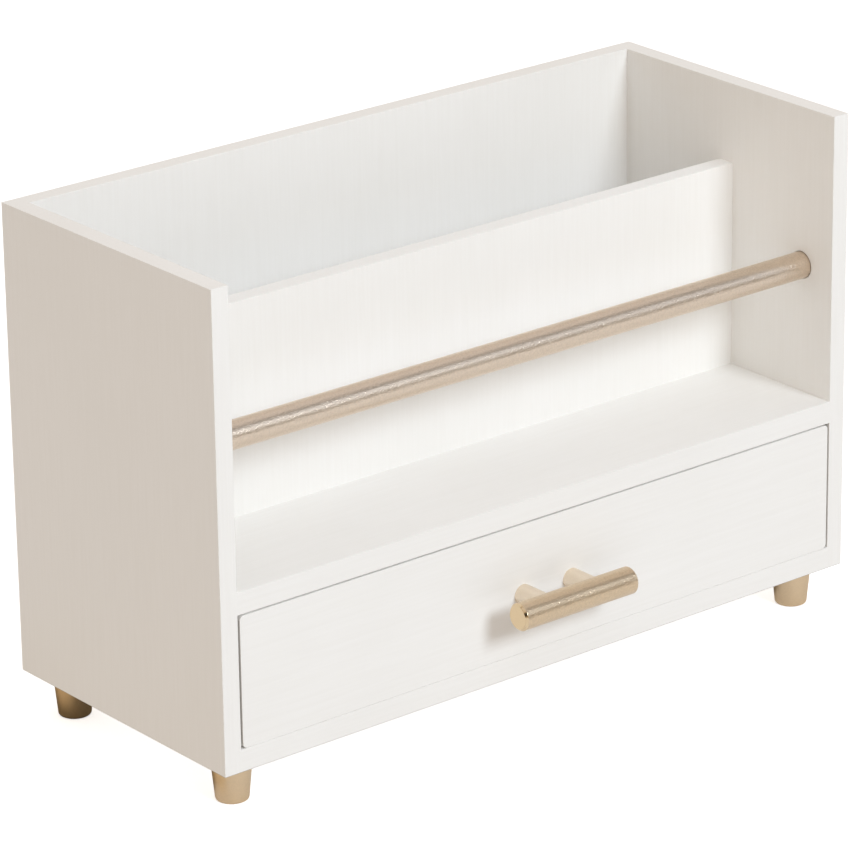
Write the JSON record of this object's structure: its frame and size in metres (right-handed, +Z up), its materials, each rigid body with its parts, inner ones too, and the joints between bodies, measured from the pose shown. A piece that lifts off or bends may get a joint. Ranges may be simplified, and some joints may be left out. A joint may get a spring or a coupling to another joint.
{
  "type": "desk organizer",
  "caption": "White painted desk organizer with a tall rear compartment, a front shelf behind a metal rail, and one drawer with a T-bar handle, on tapered metal feet.",
  "frame": {"origin": "on the floor, under the middle of the whole organizer's box, handle included", "axes": "+X to the organizer's right as seen from the front, -Y out of the front towards the user, +Z up"},
  "size_m": [0.34, 0.1656, 0.227],
  "materials": {
    "white_paint": "smooth satin paint over board, warm white, with a very fine vertical grain",
    "champagne_metal": "fine-grained satin champagne gold plating on steel",
    "beech_dowel": "plain beech",
    "zinc_screw": "bright zinc plating"
  },
  "bodies": {
    "carcass": {"back_panel": "white_paint", "bottom_panel": "white_paint", "divider_panel": "white_paint", "dowel_divider_left": "beech_dowel", "dowel_divider_middle": "beech_dowel", "dowel_divider_right": "beech_dowel", "dowel_left_back_high": "beech_dowel", "dowel_left_back_low": "beech_dowel", "dowel_left_bottom_back": "beech_dowel", "dowel_left_bottom_front": "beech_dowel", "dowel_left_divider_high": "beech_dowel", "dowel_left_divider_low": "beech_dowel", "dowel_left_shelf_back": "beech_dowel", "dowel_left_shelf_front": "beech_dowel", "dowel_rear_bottom_left": "beech_dowel", "dowel_rear_bottom_right": "beech_dowel", "dowel_rear_shelf_left": "beech_dowel", "dowel_rear_shelf_right": "beech_dowel", "dowel_right_back_high": "beech_dowel", "dowel_right_back_low": "beech_dowel", "dowel_right_bottom_back": "beech_dowel", "dowel_right_bottom_front": "beech_dowel", "dowel_right_divider_high": "beech_dowel", "dowel_right_divider_low": "beech_dowel", "dowel_right_shelf_back": "beech_dowel", "dowel_right_shelf_front": "beech_dowel", "foot_back_left": "champagne_metal", "foot_back_right": "champagne_metal", "foot_front_left": "champagne_metal", "foot_front_right": "champagne_metal", "foot_screw_back_left": "zinc_screw", "foot_screw_back_right": "zinc_screw", "foot_screw_front_left": "zinc_screw", "foot_screw_front_right": "zinc_screw", "front_rail": "champagne_metal", "left_side_panel": "white_paint", "right_side_panel": "white_paint", "shelf_panel": "white_paint"},
    "drawer": {"drawer_back": "white_paint", "drawer_bottom": "white_paint", "drawer_dowel_back_left_high": "beech_dowel", "drawer_dowel_back_left_low": "beech_dowel", "drawer_dowel_back_right_high": "beech_dowel", "drawer_dowel_back_right_low": "beech_dowel", "drawer_dowel_front_left_high": "beech_dowel", "drawer_dowel_front_left_low": "beech_dowel", "drawer_dowel_front_right_high": "beech_dowel", "drawer_dowel_front_right_low": "beech_dowel", "drawer_front": "white_paint", "drawer_left_side": "white_paint", "drawer_right_side": "white_paint", "handle_bar": "champagne_metal", "handle_post_left": "champagne_metal", "handle_post_right": "champagne_metal", "handle_screw_left": "zinc_screw", "handle_screw_right": "zinc_screw"}
  },
  "joints": [
    {"name": "drawer_slide", "type": "slide", "parent": "carcass", "child": "drawer", "axis": [0, -1, 0], "range_m": [0, 0.1]}
  ]
}
